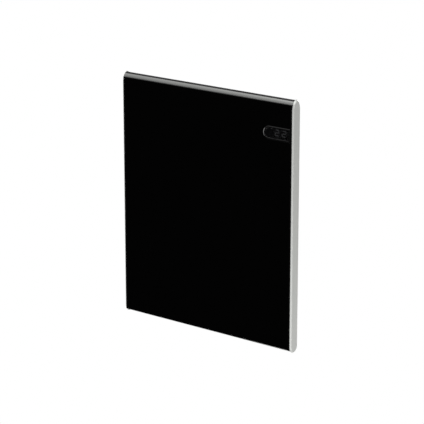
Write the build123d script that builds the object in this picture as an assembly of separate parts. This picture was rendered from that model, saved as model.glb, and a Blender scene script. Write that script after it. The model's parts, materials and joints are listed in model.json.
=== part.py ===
"""Wall-hung glass infrared panel heater with silver end caps and a capsule control.

All sizes are millimetres. The pieces are drawn in panel coordinates: x to the right,
y from the face of the glass towards the wall, z up from the lower edge of the end caps.
They are then moved so that the origin is the middle of the four wall screws, on the wall.
"""
import os
from math import radians, tan

from build123d import *

# ---- overall size of the panel ----
PANEL_WIDTH = 500.0          # over the two end caps
PANEL_HEIGHT = 600.0         # over the rounded ends of the caps
PANEL_DEPTH = 28.0           # glass face to the back of the caps
WALL_GAP = 25.0              # back of the caps to the wall
CROWN_TOP = 26.0             # height of the rounded top end of the side outline
CROWN_LOW = 16.0             # height of the rounded lower end

# ---- end caps ----
CAP_PLATE = 3.5              # thickness of the plate that closes each side
CAP_BEVEL = 2.8              # bevel round the plate's outer face
CAP_PROUD = 1.6              # the caps stand this far out beyond the housing all round
SPIGOT_LENGTH = 12.0         # ring that reaches into the housing
SPIGOT_WALL = 2.0
CAP_BOSS_RADIUS = 4.0
CAP_SCREW_SETBACK = 6.5      # cap screws, in from the plate's inner face
CAP_SCREW_INSET = 45.0       # cap screws, in from the top and the lower edge

# ---- glass, side strips and rails ----
GLASS_THICKNESS = 4.0
GLASS_TOP_DROP = 11.0        # top of the glass below the top of the caps
GLASS_LOW_RISE = 7.6         # lower edge of the glass above the lower edge of the caps
GLASS_ARRIS = 0.8
STRIP_WIDTH = 4.5            # black strip between the glass and each cap
STRIP_JOINT = 0.3
LEDGE_WALL = 1.6             # ledges behind the glass, and the wall of the rails
STRIP_LEDGE = 14.0           # reach of the strips' ledges
RAIL_LEDGE = 30.0            # reach of the rails' ledges
ADHESIVE_THICKNESS = 1.0
ADHESIVE_WIDTH = 15.0
ADHESIVE_MARGIN = 4.0
TOP_RAIL_DEPTH = 8.6        # the bright rail ends here, then the dark housing starts
LOW_RAIL_DEPTH = 7.5
SHADOW_JOINT = 0.6           # open line between a rail and the housing

# ---- rear housing ----
SKIN = 1.0
TOP_LIP_REACH = 1.8          # joggled lips that reach in under the rails
LOW_LIP_REACH = 0.8
LIP_CLEARANCE = 0.1
END_CLEARANCE = 0.2          # housing and rails to the caps
BEAD_SPACING = 110.0         # stiffening beads pressed across the back
BEAD_RISE = 0.9
BEAD_RADIUS = 6.0
BEAD_END = 45.0              # end of a bead, in from the glass edge
VENT_WIDTH = 3.5
VENT_HEIGHT = 22.0
VENT_COUNT = 12
VENT_PITCH = 13.0
VENT_INSET = 69.0            # rows of vents, in from the top and the lower edge

# ---- heating pack ----
FILM_THICKNESS = 0.5
FILM_MARGIN = 50.0           # film to the upper and the lower edge of the panel
FILM_SIDE_GAP = 10.0         # film to the left-hand strip's ledge
FILM_SLITS = 23
FILM_SLIT = 1.5
FILM_BRIDGE = 12.0
TAB_LENGTH = 20.0
TAB_WIDTH = 8.0
TAB_THICKNESS = 0.8
TAB_MARGIN = 2.0
MICA_THICKNESS = 0.5
FOIL_THICKNESS = 0.2
INSULATION_THICKNESS = 11.0
POCKET_CLEARANCE = 2.5
CUTOUT_X = 40.0              # thermal cut-out
CUTOUT_DROP = 130.0
CUTOUT_RADIUS = 9.0
CUTOUT_CAN = 4.0
CUTOUT_BASE = 5.0
CUTOUT_STEP = 1.5
BLADE_LENGTH = 6.0
BLADE_WIDTH = 6.0
BLADE_WALL = 0.8
BLADE_PITCH = 9.0
FUSE_X = -40.0               # thermal fuse, level with the cut-out
FUSE_RADIUS = 2.0
FUSE_LENGTH = 14.0

# ---- electronics bay, on the right ----
BAY_WIDTH = 70.0
BAY_END_GAP = 4.5            # boards to the right-hand cap's ring
PARTITION_GAP = 10.0
PARTITION_WALL = 1.0
PARTITION_FOOT = 8.0
PARTITION_END_GAP = 2.0
FILM_CLEARANCE = 4.0         # film to the partition
BOARD = 1.6                  # board thickness
CONTROL_BOARD_Y = 13.0       # front of the control board behind the glass face
CONTROL_BOARD_HEIGHT = 56.0
POWER_BOARD_LENGTH = 270.0
POWER_BOARD_POST = 3.4
BOARD_GAP = 39.0             # between the two boards
POST_RADIUS = 2.5
POST_INSET = 5.0
POST_FLOOR = 1.0
SCREW_RADIUS = 1.25
SCREW_HEAD_RADIUS = 2.5
SCREW_HEAD = 1.5
SCREW_BITE = 2.2
SCREW_CLEARANCE = 0.05
RELAY_SIZE = (28.0, 12.5, 13.0)          # width, height, depth
RELAY_ARRIS = 0.8
RELAY_SETBACK = 50.0                     # below the top of the power board
CORE_SIZE = (36.0, 30.0, 12.0)
BOBBIN_SIZE = (22.0, 38.0, 9.0)
TRANSFORMER_SETBACK = 130.0
TERMINAL_SIZE = (30.0, 12.0, 11.0)
TERMINAL_WAYS = 3
TERMINAL_SETBACK = 25.0                  # above the lower edge of the power board
TERMINAL_SCREW = 2.2
TERMINAL_MOUTH = 1.6
SENSOR_SETBACK = 28.0                    # room sensor, in from the upright's flange
SENSOR_BEAD = 2.5
SENSOR_CLIP = (10.0, 8.0, 3.0)
EARTH_RISE = 44.0                        # earth stud above the rocker's body
EARTH_STUD_RADIUS = 2.0
EARTH_STUD_LENGTH = 10.0
EARTH_NUT_RADIUS = 4.0
EARTH_NUT_HEIGHT = 3.2
EARTH_NUT_SETBACK = 3.0
WIRE_RADIUS = 1.2
WIRE_BEND = 6.0
BEND_SHARE = 0.45                        # part of the shorter run that a bend may take
WIRE_LIFT = 5.0                          # leads stand this far off the film's tabs
LEAD_RISE = 52.0                         # mains lead: straight up from the rocker, then across
LEAD_JOG = 25.0
LEAD_INSET = 14.0                        # element leads: in from the boards' left edge
LOW_LEAD_RISE = 60.0
HIGH_LEAD_DROP = 20.0
RIBBON_WIDTH = 12.0
RIBBON_THICKNESS = 1.0
RIBBON_TURN = 6.0
RIBBON_OVERLAP = 30.0
RIBBON_GAP = 1.5

# ---- capsule control ----
CAPSULE_RADIUS = 16.2
CAPSULE_LENGTH = 74.4        # round end to the square end at the glass edge
CAPSULE_DROP = 83.0          # middle of the capsule below the top of the caps
CUTOUT_CLEARANCE = 0.2
BEZEL_PROUD = 0.8            # face of the bezel before the face of the glass
BEZEL_BEVEL = 1.5            # width of the bevel from the glass up to that face
BEZEL_RIM = 4.7              # bevel and flat together, round the window
BEZEL_EASE = 0.4             # small bevel down to the window
BEZEL_CUP_WALL = 1.3
BEZEL_FLOOR = 1.0
BEZEL_CLIP = 3.0             # flange of the bezel behind the glass
BEZEL_DEPTH = 6.0
WINDOW_THICKNESS = 2.2
WINDOW_RECESS = 0.4          # window and key below the face of the bezel
BUTTON_RADIUS = 10.0
BUTTON_GAP = 0.35
BUTTON_THICKNESS = 2.4
BUTTON_STEM = 2.5
BUTTON_TRAVEL = 0.8
DISH_RADIUS = 60.0
DISH_DEPTH = 0.35
SWITCH_REST_GAP = 0.4        # tact switch to the stem with the button pressed home
SWITCH_SIZE = 6.0
SWITCH_BODY = 3.4
SWITCH_PLUNGER = 0.6
SWITCH_PLUNGER_RADIUS = 1.7
DISPLAY_LENGTH = 42.0
DISPLAY_HEIGHT = 22.0
DISPLAY_END_GAP = 1.5
DISPLAY_FACE_GAP = 0.6
DISPLAY_ARRIS = 0.5

# ---- service tray with rocker and cable inlet ----
TRAY_INSET = 5.0             # tray to the left-hand side of the bay
TRAY_LENGTH = 60.0
TRAY_FRONT_GAP = 0.6         # tray to the joint in front of it
TRAY_BACK_GAP = 1.7          # tray to the back of the housing
TRAY_WALL = 1.3
TRAY_FLOOR_RISE = 9.0        # floor of the tray above the lower edge of the caps
TRAY_CLEARANCE = 0.2
TRAY_EAR = 6.0
TRAY_EAR_WIDTH = 6.0
ROCKER_SETBACK = 17.0        # middle of the rocker from the tray's left end
ROCKER_LENGTH = 14.8
ROCKER_WIDTH = 7.0
ROCKER_GAP = 0.3
ROCKER_END_GAP = 1.0
ROCKER_THROW = 20.0          # degrees from off to on
ROCKER_PIVOT_RISE = 2.5      # pivot above the tray's floor
ROCKER_BACK = 2.0
ROCKER_FACE = 3.0
ROCKER_HOLLOW = 0.6
ROCKER_FLAT = 3.0            # half length of the flat in the hollowed face
ROCKER_WELL = 4.5            # free space above the pivot
PIVOT_RADIUS = 1.2
TRUNNION_REACH = 0.7
TRUNNION_END_GAP = 0.2
RUNNING_CLEARANCE = 0.05
SWITCH_CASE_WALL = 1.2
SWITCH_CASE_END_WALL = 1.5
SWITCH_CASE_HEIGHT = 17.0
SWITCH_RIM = 1.2
SWITCH_RIM_REACH = 0.6
SWITCH_BLADE_PITCH = 8.0
SWITCH_BLADE_WIDTH = 4.8
SWITCH_BLADE_LENGTH = 6.5
GLAND_SETBACK = 46.0
INLET_RADIUS = 3.5           # bore for the supply cord
GLAND_SHANK = 4.8
GLAND_FLANGE = 5.6
GLAND_FLANGE_HEIGHT = 2.5
GLAND_ARRIS = 0.8
GLAND_LENGTH = 15.0
GLAND_NUT_RADIUS = 7.0
GLAND_NUT_HEIGHT = 4.0

# ---- wall bracket ----
STEEL = 2.0
HOOK_CLEARANCE = 0.3         # housing to the parts of the bracket that it hangs between
UPRIGHT_INSET = 30.0         # inner face of an upright's flange, in from the bay's partition
UPRIGHT_WEB = 25.0
UPRIGHT_LOW = 60.0           # ends of the uprights, in from the edges of the panel
UPRIGHT_TOP_DROP = 40.0
HOOK_LOW = 110.0             # seats of the hooks, in from the edges of the panel
HOOK_TOP_DROP = 120.0
HOOK_DROP = 14.0
HOOK_LIP = 7.0
HOOK_LIP_WALL = 3.0
HOOK_LEAD_IN = 1.0
HOOK_HEEL = (2.0, 4.0)       # slope under the hook's tip
SLOT_WIDTH = 6.0
SLOT_HEIGHT = 30.0
DOUBLER = 2.0
DOUBLER_WIDTH = 28.0
DOUBLER_ABOVE = 20.0
DOUBLER_BELOW = 10.0
WALL_SLOT_LENGTH = 12.0
WALL_SLOT_RADIUS = 3.0
WALL_HOLE_SETBACK = 11.0     # wall screws, in from the upright's flange
WALL_HOLE_SPACING_Z = 400.0
BAR_HEIGHT = 25.0
BAR_SPACING = 290.0
BAR_END_GAP = 1.0
RIVET_RADIUS = 2.0
RIVET_HEAD_RADIUS = 3.5
RIVET_HEAD = 1.0
RIVET_SINK = 0.2
RIVET_SETBACK = 14.0
RIVET_PITCH = 12.0

# ---- sprung lock at the top of each upright ----
LOCK_DROP = 14.0             # lock below the top of its upright
LOCK_WIDTH = 14.0
LOCK_ARRIS = 2.0
LOCK_STANDOFF = 2.0          # lock's body to the housing
LOCK_LENGTH = 17.6
LOCK_WALL = 1.5
LOCK_CHAMBER_RADIUS = 4.8
PLUNGER_RADIUS = 3.0
PLUNGER_LEAD_IN = 1.0
PLUNGER_HOLE_GAP = 0.3
COLLAR_RADIUS = 4.4
COLLAR_WALL = 1.2
COLLAR_GAP = 0.5
LOCK_ENGAGE = 3.5            # how far the nose reaches into the housing
LOCK_TRAVEL = 4.0
LOCK_END_GAP = 0.6           # pulled tab to the wall
TAB_RISE = 28.0
TAB_INSET = 1.0
TAB_ROUND = 4.8
SPRING_END_GAP = 0.1
SPRING_BORE_GAP = 0.3

PAST = 1.0                   # how far a cutter runs past the faces that it cuts

# ---- places that follow from the sizes above ----
HALF = PANEL_WIDTH / 2
MID = PANEL_DEPTH / 2
HANG_HEIGHT = PANEL_HEIGHT / 2
TOP_SPRING = PANEL_HEIGHT - CROWN_TOP
CAP_X = HALF - CAP_PLATE
BODY_X = CAP_X - END_CLEARANCE
STRIP_X = CAP_X - STRIP_WIDTH
GLASS_X = STRIP_X - STRIP_JOINT
LEDGE_X = STRIP_X - STRIP_LEDGE
GLASS_TOP = PANEL_HEIGHT - GLASS_TOP_DROP
GLASS_LOW = GLASS_LOW_RISE
LEDGE_Y = GLASS_THICKNESS + ADHESIVE_THICKNESS
LEDGE_BACK = LEDGE_Y + LEDGE_WALL
RAIL_INNER = CAP_PROUD + LEDGE_WALL
LIP_OUTER = RAIL_INNER + LIP_CLEARANCE
LIP_INNER = LIP_OUTER + SKIN
SPIGOT_OUTER = LIP_INNER + END_CLEARANCE
BACK_Y = PANEL_DEPTH - CAP_PROUD
BACK_INSIDE_Y = BACK_Y - SKIN
WALL_Y = PANEL_DEPTH + WALL_GAP
BEAD_HEIGHTS = [HANG_HEIGHT + step * BEAD_SPACING for step in (-1, 0, 1)]
VENT_ROWS = (VENT_INSET, PANEL_HEIGHT - VENT_INSET)

BAY_RIGHT = CAP_X - SPIGOT_LENGTH - BAY_END_GAP
BAY_LEFT = BAY_RIGHT - BAY_WIDTH
BAY_MID = (BAY_LEFT + BAY_RIGHT) / 2
PARTITION_X = BAY_LEFT - PARTITION_GAP
FILM_LEFT = -LEDGE_X + FILM_SIDE_GAP
FILM_RIGHT = PARTITION_X - FILM_CLEARANCE
MICA_Y = GLASS_THICKNESS + FILM_THICKNESS
FOIL_Y = MICA_Y + MICA_THICKNESS
INSULATION_Y = FOIL_Y + FOIL_THICKNESS
INSULATION_BACK = INSULATION_Y + INSULATION_THICKNESS
CUTOUT_Z = PANEL_HEIGHT - CUTOUT_DROP

CAPSULE_X = GLASS_X - CAPSULE_LENGTH + CAPSULE_RADIUS
CAPSULE_Z = PANEL_HEIGHT - CAPSULE_DROP
BEZEL_Y = -BEZEL_PROUD
WINDOW_Y = BEZEL_Y + WINDOW_RECESS
DISPLAY_RIGHT = GLASS_X - BEZEL_CUP_WALL - DISPLAY_END_GAP
CONTROL_LOW = CAPSULE_Z - CONTROL_BOARD_HEIGHT / 2
CONTROL_HIGH = CAPSULE_Z + CONTROL_BOARD_HEIGHT / 2
POWER_BOARD_Y = BACK_INSIDE_Y - POWER_BOARD_POST - BOARD
POWER_HIGH = CONTROL_LOW - BOARD_GAP
POWER_LOW = POWER_HIGH - POWER_BOARD_LENGTH
BOARDS = ((CONTROL_BOARD_Y, CONTROL_LOW, CONTROL_HIGH), (POWER_BOARD_Y, POWER_LOW, POWER_HIGH))
TERMINAL_Z = POWER_LOW + TERMINAL_SETBACK

TRAY_LEFT = BAY_LEFT + TRAY_INSET
TRAY_RIGHT = TRAY_LEFT + TRAY_LENGTH
TRAY_FRONT = LOW_RAIL_DEPTH + SHADOW_JOINT + TRAY_FRONT_GAP
TRAY_BACK = BACK_Y - TRAY_BACK_GAP
TRAY_MID = (TRAY_FRONT + TRAY_BACK) / 2
TRAY_CEILING = TRAY_FLOOR_RISE + TRAY_WALL
ROCKER_X = TRAY_LEFT + ROCKER_SETBACK
ROCKER_PIVOT_Z = TRAY_FLOOR_RISE + ROCKER_PIVOT_RISE
WELL_LENGTH = ROCKER_LENGTH + 2 * ROCKER_END_GAP
WELL_WIDTH = ROCKER_WIDTH + 2 * ROCKER_GAP
CASE_LENGTH = WELL_LENGTH + 2 * SWITCH_CASE_END_WALL
CASE_WIDTH = WELL_WIDTH + 2 * SWITCH_CASE_WALL
CASE_TOP = TRAY_FLOOR_RISE + SWITCH_CASE_HEIGHT
GLAND_X = TRAY_LEFT + GLAND_SETBACK
GLAND_LOW = TRAY_FLOOR_RISE - GLAND_FLANGE_HEIGHT
EARTH_Z = CASE_TOP + EARTH_RISE

FLANGE_Y = BACK_Y + BEAD_RISE + HOOK_CLEARANCE
HOOK_SEATS = (HOOK_LOW, PANEL_HEIGHT - HOOK_TOP_DROP)
UPRIGHT_HIGH = PANEL_HEIGHT - UPRIGHT_TOP_DROP
UPRIGHT_X = PARTITION_X - UPRIGHT_INSET
UPRIGHT_OUT = UPRIGHT_X + STEEL
WALL_HOLE_X = UPRIGHT_X - WALL_HOLE_SETBACK
SENSOR_X = UPRIGHT_X - SENSOR_SETBACK
WALL_HOLE_HEIGHTS = [HANG_HEIGHT + side * WALL_HOLE_SPACING_Z / 2 for side in (-1, 1)]
BAR_HEIGHTS = [HANG_HEIGHT + side * BAR_SPACING / 2 for side in (-1, 1)]
LOCK_X = UPRIGHT_OUT + LOCK_WIDTH / 2
LOCK_Z = UPRIGHT_HIGH - LOCK_DROP
LOCK_FRONT = BACK_Y + LOCK_STANDOFF
LOCK_BACK = LOCK_FRONT + LOCK_LENGTH
COLLAR_Y = LOCK_FRONT + LOCK_WALL + COLLAR_GAP
PULL_Y = WALL_Y - LOCK_TRAVEL - LOCK_END_GAP - STEEL


def block(x0, x1, y0, y1, z0, z1):
    """Rectangular solid between six faces."""
    middle = Pos((x0 + x1) / 2, (y0 + y1) / 2, (z0 + z1) / 2)
    return middle * Box(x1 - x0, y1 - y0, z1 - z0)


def block_about(x, y0, y1, z, width, height):
    """Rectangular solid between two depths, given by its middle and its size."""
    return block(x - width / 2, x + width / 2, y0, y1, z - height / 2, z + height / 2)


def disc(x, z, y0, y1, radius):
    """Round solid along y."""
    return Pos(x, (y0 + y1) / 2, z) * Rot(90, 0, 0) * Cylinder(radius, y1 - y0)


def stud(x, y, z0, z1, radius):
    """Round solid along z."""
    return Pos(x, y, (z0 + z1) / 2) * Cylinder(radius, z1 - z0)


def bar_x(y, z, x0, x1, radius):
    """Round solid along x."""
    return Pos((x0 + x1) / 2, y, z) * Rot(0, 90, 0) * Cylinder(radius, x1 - x0)


def pill(inset, x0, x1):
    """Solid with the caps' side outline, drawn in by inset: half ellipses above and below."""
    half = MID - inset
    outline = Pos(MID, (CROWN_LOW + TOP_SPRING) / 2) * Rectangle(2 * half, TOP_SPRING - CROWN_LOW)
    outline += Pos(MID, TOP_SPRING) * Ellipse(half, CROWN_TOP - inset)
    outline += Pos(MID, CROWN_LOW) * Ellipse(half, CROWN_LOW - inset)
    return extrude(Plane.YZ.offset(x0) * outline, amount=x1 - x0)


def wrap(outer, inner, x):
    """Open-ended wrap between two insets, from -x to x."""
    return pill(outer, -x, x) - pill(inner, -x - PAST, x + PAST)


def capsule_face(grow, y):
    """Outline of the control at depth y: half round on the left, square on the right."""
    radius = CAPSULE_RADIUS + grow
    length = CAPSULE_LENGTH - CAPSULE_RADIUS + min(grow, 0)
    outline = Circle(radius) + Pos(length / 2, 0) * Rectangle(length, 2 * radius)
    return Plane(origin=(CAPSULE_X, y, CAPSULE_Z), x_dir=(1, 0, 0), z_dir=(0, -1, 0)) * outline


def capsule(grow, y0, y1):
    """Solid of the control's outline between two depths."""
    return extrude(capsule_face(grow, y1), amount=y1 - y0)


def mirrored(solid):
    """The left-hand twin of a right-hand piece."""
    return mirror(solid, about=Plane.YZ)


def both_sides(solid):
    return [solid, mirrored(solid)]


def group(solids):
    """Separate solids kept together as one piece of the list."""
    return Compound(children=list(solids))


def front_edges(solid):
    return solid.faces().sort_by(Axis.Y)[0].edges()


# ---------------------------------------------------------------- glass and frame
def front_glass():
    """Toughened glass with a notch for the control, open at the right-hand edge."""
    plate = block(-GLASS_X, GLASS_X, 0, GLASS_THICKNESS, GLASS_LOW, GLASS_TOP)
    plate = chamfer(front_edges(plate), GLASS_ARRIS)
    notch = capsule(CUTOUT_CLEARANCE, -PAST, GLASS_THICKNESS + PAST)
    mouth = block_about(GLASS_X, -PAST, GLASS_THICKNESS + PAST, CAPSULE_Z, 2 * PAST,
                        2 * (CAPSULE_RADIUS + CUTOUT_CLEARANCE))
    return plate - notch - mouth


def side_strip():
    """Right-hand strip: bar beside the glass, with a ledge behind it for the adhesive."""
    leg_low = GLASS_LOW + RAIL_LEDGE / 2
    leg_top = GLASS_TOP - RAIL_LEDGE / 2
    strip = block(STRIP_X, CAP_X, 0, GLASS_THICKNESS, GLASS_LOW, GLASS_TOP)
    strip += block(STRIP_X, CAP_X, GLASS_THICKNESS, LEDGE_BACK, leg_low, leg_top)
    return strip + block(LEDGE_X, STRIP_X, LEDGE_Y, LEDGE_BACK, leg_low, leg_top)


def side_strip_right():
    """The right-hand strip's ledge is cut away behind the control."""
    reach = CAPSULE_RADIUS + BEZEL_CLIP + PAST
    return side_strip() - block(LEDGE_X - PAST, STRIP_X, GLASS_THICKNESS, BACK_Y,
                                CAPSULE_Z - reach, CAPSULE_Z + reach)


def top_rail():
    """Curved rail from the top of the glass over to the joint, with a ledge behind the glass."""
    keep = block(-HALF, HALF, 0, TOP_RAIL_DEPTH, GLASS_TOP, PANEL_HEIGHT)
    keep += block(-HALF, HALF, LEDGE_Y, TOP_RAIL_DEPTH, TOP_SPRING, GLASS_TOP)
    ledge_x = LEDGE_X - END_CLEARANCE
    ledge = block(-ledge_x, ledge_x, LEDGE_Y, LEDGE_BACK, GLASS_TOP - RAIL_LEDGE, GLASS_TOP)
    return (wrap(CAP_PROUD, RAIL_INNER, BODY_X) & keep) + ledge


def bottom_rail():
    """Curved rail below the glass, with a ledge behind the glass."""
    keep = block(-HALF, HALF, 0, LOW_RAIL_DEPTH, 0, GLASS_LOW)
    keep += block(-HALF, HALF, LEDGE_Y, LOW_RAIL_DEPTH, GLASS_LOW, CROWN_LOW)
    ledge_x = LEDGE_X - END_CLEARANCE
    ledge = block(-ledge_x, ledge_x, LEDGE_Y, LEDGE_BACK, GLASS_LOW, GLASS_LOW + RAIL_LEDGE)
    return (wrap(CAP_PROUD, RAIL_INNER, BODY_X) & keep) + ledge


def glass_adhesive():
    """Beads of silicone that bond the glass to the ledges."""
    level_x = LEDGE_X - ADHESIVE_MARGIN
    side_in = LEDGE_X + ADHESIVE_MARGIN / 2
    side_out = STRIP_X - ADHESIVE_MARGIN
    low = GLASS_LOW + RAIL_LEDGE + ADHESIVE_MARGIN
    high = GLASS_TOP - RAIL_LEDGE - ADHESIVE_MARGIN
    under_control = CAPSULE_Z - CAPSULE_RADIUS - BEZEL_CLIP - ADHESIVE_MARGIN

    def bead(x0, x1, z0, z1):
        return block(x0, x1, GLASS_THICKNESS, LEDGE_Y, z0, z1)

    top = GLASS_TOP - ADHESIVE_MARGIN
    base = GLASS_LOW + ADHESIVE_MARGIN
    return group([
        bead(-level_x, level_x, top - ADHESIVE_WIDTH, top),
        bead(-level_x, level_x, base, base + ADHESIVE_WIDTH),
        bead(-side_out, -side_in, low, high),
        bead(side_in, side_out, low, under_control),
    ])


# ---------------------------------------------------------------- rear housing
def through_back(cutter):
    """Part of a cutter that runs through the back and the doublers inside it."""
    return cutter & block(-HALF, HALF, BACK_INSIDE_Y - DOUBLER - PAST, BACK_Y + PAST, 0, PANEL_HEIGHT)


def hook_slots():
    """Cutters for the four slots that the bracket's hooks pass through."""
    cutters = []
    for seat in HOOK_SEATS:
        slot = block_about(UPRIGHT_X + STEEL / 2, 0, WALL_Y, seat - SLOT_HEIGHT / 2, SLOT_WIDTH, SLOT_HEIGHT)
        cutters += both_sides(through_back(slot))
    return cutters


def vent(x, z):
    """Cutter for one round-ended slot."""
    reach = (VENT_HEIGHT - VENT_WIDTH) / 2
    slot = block_about(x, 0, WALL_Y, z, VENT_WIDTH, 2 * reach)
    slot += [disc(x, z + end, 0, WALL_Y, VENT_WIDTH / 2) for end in (-reach, reach)]
    return through_back(slot)


def cap_screw_places():
    """Middle of each cap screw on the right-hand side."""
    return [(CAP_X - CAP_SCREW_SETBACK, z) for z in (CAP_SCREW_INSET, PANEL_HEIGHT - CAP_SCREW_INSET)]


def joggle(seam, reach, z0, z1):
    """Step and lip that carry a return of the pan in under a rail."""
    start = seam + SHADOW_JOINT
    step = wrap(CAP_PROUD, LIP_INNER, BODY_X) & block(-HALF, HALF, start, start + 2 * SKIN, z0, z1)
    lip = wrap(LIP_OUTER, LIP_INNER, BODY_X) & block(-HALF, HALF, seam - reach, start + SKIN, z0, z1)
    return step + lip


def back_holes():
    """Every opening in the back: vents, hook slots, screw holes and the locks' holes."""
    holes = hook_slots()
    for row in VENT_ROWS:
        holes += [vent((number - (VENT_COUNT - 1) / 2) * VENT_PITCH, row) for number in range(VENT_COUNT)]
    for x, z in cap_screw_places():
        holes += both_sides(through_back(disc(x, z, 0, WALL_Y, SCREW_RADIUS + 2 * SCREW_CLEARANCE)))
    holes += both_sides(through_back(disc(LOCK_X, LOCK_Z, 0, WALL_Y, PLUNGER_RADIUS + PLUNGER_HOLE_GAP)))
    return holes


def rear_housing():
    """Sheet pan with curved top and lower returns, joggled lips, beads, slots and vents."""
    behind = block(-HALF, HALF, TOP_RAIL_DEPTH + SHADOW_JOINT, PANEL_DEPTH, HANG_HEIGHT, PANEL_HEIGHT)
    behind += block(-HALF, HALF, LOW_RAIL_DEPTH + SHADOW_JOINT, PANEL_DEPTH, 0, HANG_HEIGHT)
    pan = wrap(CAP_PROUD, CAP_PROUD + SKIN, BODY_X) & behind
    pan += joggle(TOP_RAIL_DEPTH, TOP_LIP_REACH, TOP_SPRING, PANEL_HEIGHT)
    pan += joggle(LOW_RAIL_DEPTH, LOW_LIP_REACH, 0, CROWN_LOW)
    behind_skin = block(-HALF, HALF, BACK_Y - SKIN / 2, PANEL_DEPTH, 0, PANEL_HEIGHT)
    bead_x = GLASS_X - BEAD_END
    for height in BEAD_HEIGHTS:
        bead = bar_x(BACK_Y + BEAD_RISE - BEAD_RADIUS, height, -bead_x, bead_x, BEAD_RADIUS)
        pan += bead & behind_skin
    for hole in back_holes():
        pan -= hole
    return pan - block(TRAY_LEFT, TRAY_RIGHT, TRAY_FRONT, TRAY_BACK, -PAST, CROWN_LOW)


# ---------------------------------------------------------------- end caps
def end_cap():
    """Right-hand cap: bevelled plate, ring that fits inside the housing, screw bosses."""
    plate = pill(0, CAP_X, HALF)
    plate = chamfer(plate.faces().sort_by(Axis.X)[-1].edges(), CAP_BEVEL)
    start = CAP_X - SPIGOT_LENGTH
    ring = pill(SPIGOT_OUTER, start, CAP_X) - pill(SPIGOT_OUTER + SPIGOT_WALL, start - PAST, CAP_X + PAST)
    open_front = block(start - PAST, CAP_X, 0, LEDGE_BACK + LEDGE_WALL, 0, PANEL_HEIGHT)
    cap = plate + (ring - open_front)
    for x, z in cap_screw_places():
        cap += disc(x, z, MID, BACK_INSIDE_Y, CAP_BOSS_RADIUS)
        cap -= disc(x, z, MID + POST_FLOOR, BACK_INSIDE_Y + PAST, SCREW_RADIUS + SCREW_CLEARANCE)
    return cap


def end_cap_screws():
    """Screws through the housing into the bosses of the caps."""
    screws = []
    for x, z in cap_screw_places():
        screw = disc(x, z, MID + 2 * POST_FLOOR, BACK_Y, SCREW_RADIUS)
        screws += both_sides(screw + disc(x, z, BACK_Y, BACK_Y + SCREW_HEAD, SCREW_HEAD_RADIUS))
    return group(screws)


# ---------------------------------------------------------------- heating pack
def heating_film():
    """Resistor sheet cut into one long zigzag by slits from alternate sides."""
    sheet = block(FILM_LEFT, FILM_RIGHT, GLASS_THICKNESS, MICA_Y, FILM_MARGIN, PANEL_HEIGHT - FILM_MARGIN)
    pitch = (PANEL_HEIGHT - 2 * FILM_MARGIN) / (FILM_SLITS + 1)
    length = FILM_RIGHT - FILM_LEFT - FILM_BRIDGE
    for number in range(FILM_SLITS):
        start = FILM_LEFT - PAST if number % 2 == 0 else FILM_LEFT + FILM_BRIDGE
        z = FILM_MARGIN + pitch * (number + 1)
        sheet -= block(start, start + length + PAST, 0, LEDGE_Y, z - FILM_SLIT / 2, z + FILM_SLIT / 2)
    return sheet


def tab_places():
    """Lower edge of each contact tab, one at each end of the zigzag."""
    return (FILM_MARGIN + TAB_MARGIN, PANEL_HEIGHT - FILM_MARGIN - TAB_MARGIN - TAB_WIDTH)


def element_tabs():
    return group([block(FILM_RIGHT - TAB_LENGTH, FILM_RIGHT, MICA_Y, MICA_Y + TAB_THICKNESS, z, z + TAB_WIDTH)
                  for z in tab_places()])


def pack_layer(y0, y1):
    """Sheet over the film, short of the contact tabs."""
    return block(FILM_LEFT, FILM_RIGHT - TAB_LENGTH - PAST, y0, y1, FILM_MARGIN, PANEL_HEIGHT - FILM_MARGIN)


def insulation_board():
    """Mineral board with pockets for the thermal cut-out and the fuse."""
    board = pack_layer(INSULATION_Y, INSULATION_BACK)
    board -= disc(CUTOUT_X, CUTOUT_Z, 0, PANEL_DEPTH, CUTOUT_RADIUS + POCKET_CLEARANCE)
    return board - block_about(FUSE_X, 0, PANEL_DEPTH, CUTOUT_Z, 2 * (FUSE_RADIUS + POCKET_CLEARANCE),
                               FUSE_LENGTH + 2 * POCKET_CLEARANCE)


def thermal_cutout():
    """Disc thermostat with its crimped can and two blades."""
    base_y = INSULATION_Y + CUTOUT_CAN
    blade_y = base_y + CUTOUT_BASE
    switch = disc(CUTOUT_X, CUTOUT_Z, INSULATION_Y, base_y, CUTOUT_RADIUS)
    switch += disc(CUTOUT_X, CUTOUT_Z, base_y, blade_y, CUTOUT_RADIUS - CUTOUT_STEP)
    for side in (-1, 1):
        x = CUTOUT_X + side * BLADE_PITCH / 2
        switch += block_about(x, blade_y, blade_y + BLADE_LENGTH, CUTOUT_Z, BLADE_WALL, BLADE_WIDTH)
    return switch


def thermal_fuse():
    return stud(FUSE_X, INSULATION_Y + FUSE_RADIUS, CUTOUT_Z - FUSE_LENGTH / 2, CUTOUT_Z + FUSE_LENGTH / 2,
                FUSE_RADIUS)


def bay_partition():
    """Upright sheet that keeps heat out of the electronics, with windows for the leads."""
    low = GLASS_LOW + RAIL_LEDGE + PARTITION_END_GAP
    high = GLASS_TOP - RAIL_LEDGE - PARTITION_END_GAP
    sheet = block(PARTITION_X, PARTITION_X + PARTITION_WALL, LEDGE_Y, BACK_INSIDE_Y, low, high)
    sheet += block(PARTITION_X, PARTITION_X + PARTITION_FOOT, BACK_INSIDE_Y - PARTITION_WALL,
                   BACK_INSIDE_Y, low, high)
    for z in tab_places():
        sheet -= block_about(PARTITION_X, LEDGE_BACK, MID, z + TAB_WIDTH / 2, PARTITION_FOOT,
                             TAB_WIDTH + 2 * POCKET_CLEARANCE)
    return sheet


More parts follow.
